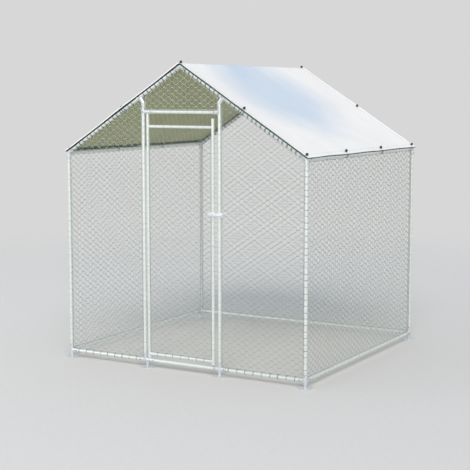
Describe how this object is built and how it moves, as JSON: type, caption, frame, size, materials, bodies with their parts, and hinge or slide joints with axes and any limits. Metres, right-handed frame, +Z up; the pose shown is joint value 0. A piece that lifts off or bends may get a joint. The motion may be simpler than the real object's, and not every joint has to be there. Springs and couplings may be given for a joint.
{
  "type": "walk-in poultry run",
  "caption": "Walk-in poultry run of galvanised tube with a gable roof, hexagonal wire netting, a hinged netted door with a sliding bolt and a tied roof cover.",
  "frame": {"origin": "on the ground under the middle of the run", "axes": "+Z up, the front gable with the door faces -Y, +X to the right seen from the front"},
  "size_m": [2.104, 2.0038, 2.2407],
  "materials": {
    "galvanised_tube": "bright hot-dip zinc with a faint spangle",
    "galvanised_fitting": "zinc, a little duller than the tubes",
    "galvanised_wire": "thin galvanised wire",
    "cover_cloth": "coated woven cloth with a slight gloss",
    "eyelet_metal": "pressed metal",
    "black_elastic": "black ball and woven elastic cord",
    "black_plastic": "moulded, satin",
    "screw_steel": "zinc plated",
    "latch_zinc": "bright zinc plate"
  },
  "bodies": {
    "frame": {"front_left_post": "galvanised_tube", "front_right_post": "galvanised_tube", "back_left_post": "galvanised_tube", "back_right_post": "galvanised_tube", "left_door_post": "galvanised_tube", "right_door_post": "galvanised_tube", "front_left_rail": "galvanised_tube", "front_right_rail": "galvanised_tube", "door_sill": "galvanised_tube", "back_rail": "galvanised_tube", "left_rail": "galvanised_tube", "right_rail": "galvanised_tube", "left_eave_rail": "galvanised_tube", "right_eave_rail": "galvanised_tube", "ridge_rail": "galvanised_tube", "front_left_rafter": "galvanised_tube", "front_right_rafter": "galvanised_tube", "back_left_rafter": "galvanised_tube", "back_right_rafter": "galvanised_tube", "door_header": "galvanised_tube", "front_left_eave_fitting": "galvanised_fitting", "front_right_eave_fitting": "galvanised_fitting", "back_left_eave_fitting": "galvanised_fitting", "back_right_eave_fitting": "galvanised_fitting", "front_ridge_fitting": "galvanised_fitting", "back_ridge_fitting": "galvanised_fitting", "front_left_base_fitting": "galvanised_fitting", "front_right_base_fitting": "galvanised_fitting", "back_left_base_fitting": "galvanised_fitting", "back_right_base_fitting": "galvanised_fitting", "hinge_sill_fitting": "galvanised_fitting", "latch_sill_fitting": "galvanised_fitting", "hinge_header_fitting": "galvanised_fitting", "latch_header_fitting": "galvanised_fitting", "left_rafter_saddle": "galvanised_fitting", "right_rafter_saddle": "galvanised_fitting", "feet": "galvanised_fitting", "set_screws": "screw_steel", "hinge_washer": "black_plastic", "latch_keeper": "latch_zinc", "front_left_net": "galvanised_wire", "front_right_net": "galvanised_wire", "gable_net": "galvanised_wire", "left_net": "galvanised_wire", "right_net": "galvanised_wire", "back_net": "galvanised_wire", "left_roof_net": "galvanised_wire", "right_roof_net": "galvanised_wire", "roof_cover": "cover_cloth", "cover_eyelets": "eyelet_metal", "cover_ties": "black_elastic"},
    "door": {"hinge_stile": "galvanised_tube", "latch_stile": "galvanised_tube", "door_top_rail": "galvanised_tube", "door_bottom_rail": "galvanised_tube", "door_net": "galvanised_wire", "stile_caps": "black_plastic", "latch_housing": "latch_zinc"},
    "bolt": {"latch_bolt": "latch_zinc"}
  },
  "joints": [
    {"name": "door_swing", "type": "hinge", "parent": "frame", "child": "door", "pos_m": [-0.282, -0.95, 0], "axis": [0, 0, -1], "range_deg": [0, 120]},
    {"name": "bolt_slide", "type": "slide", "parent": "door", "child": "bolt", "axis": [1, 0, 0], "range_m": [0, 0.026]}
  ]
}
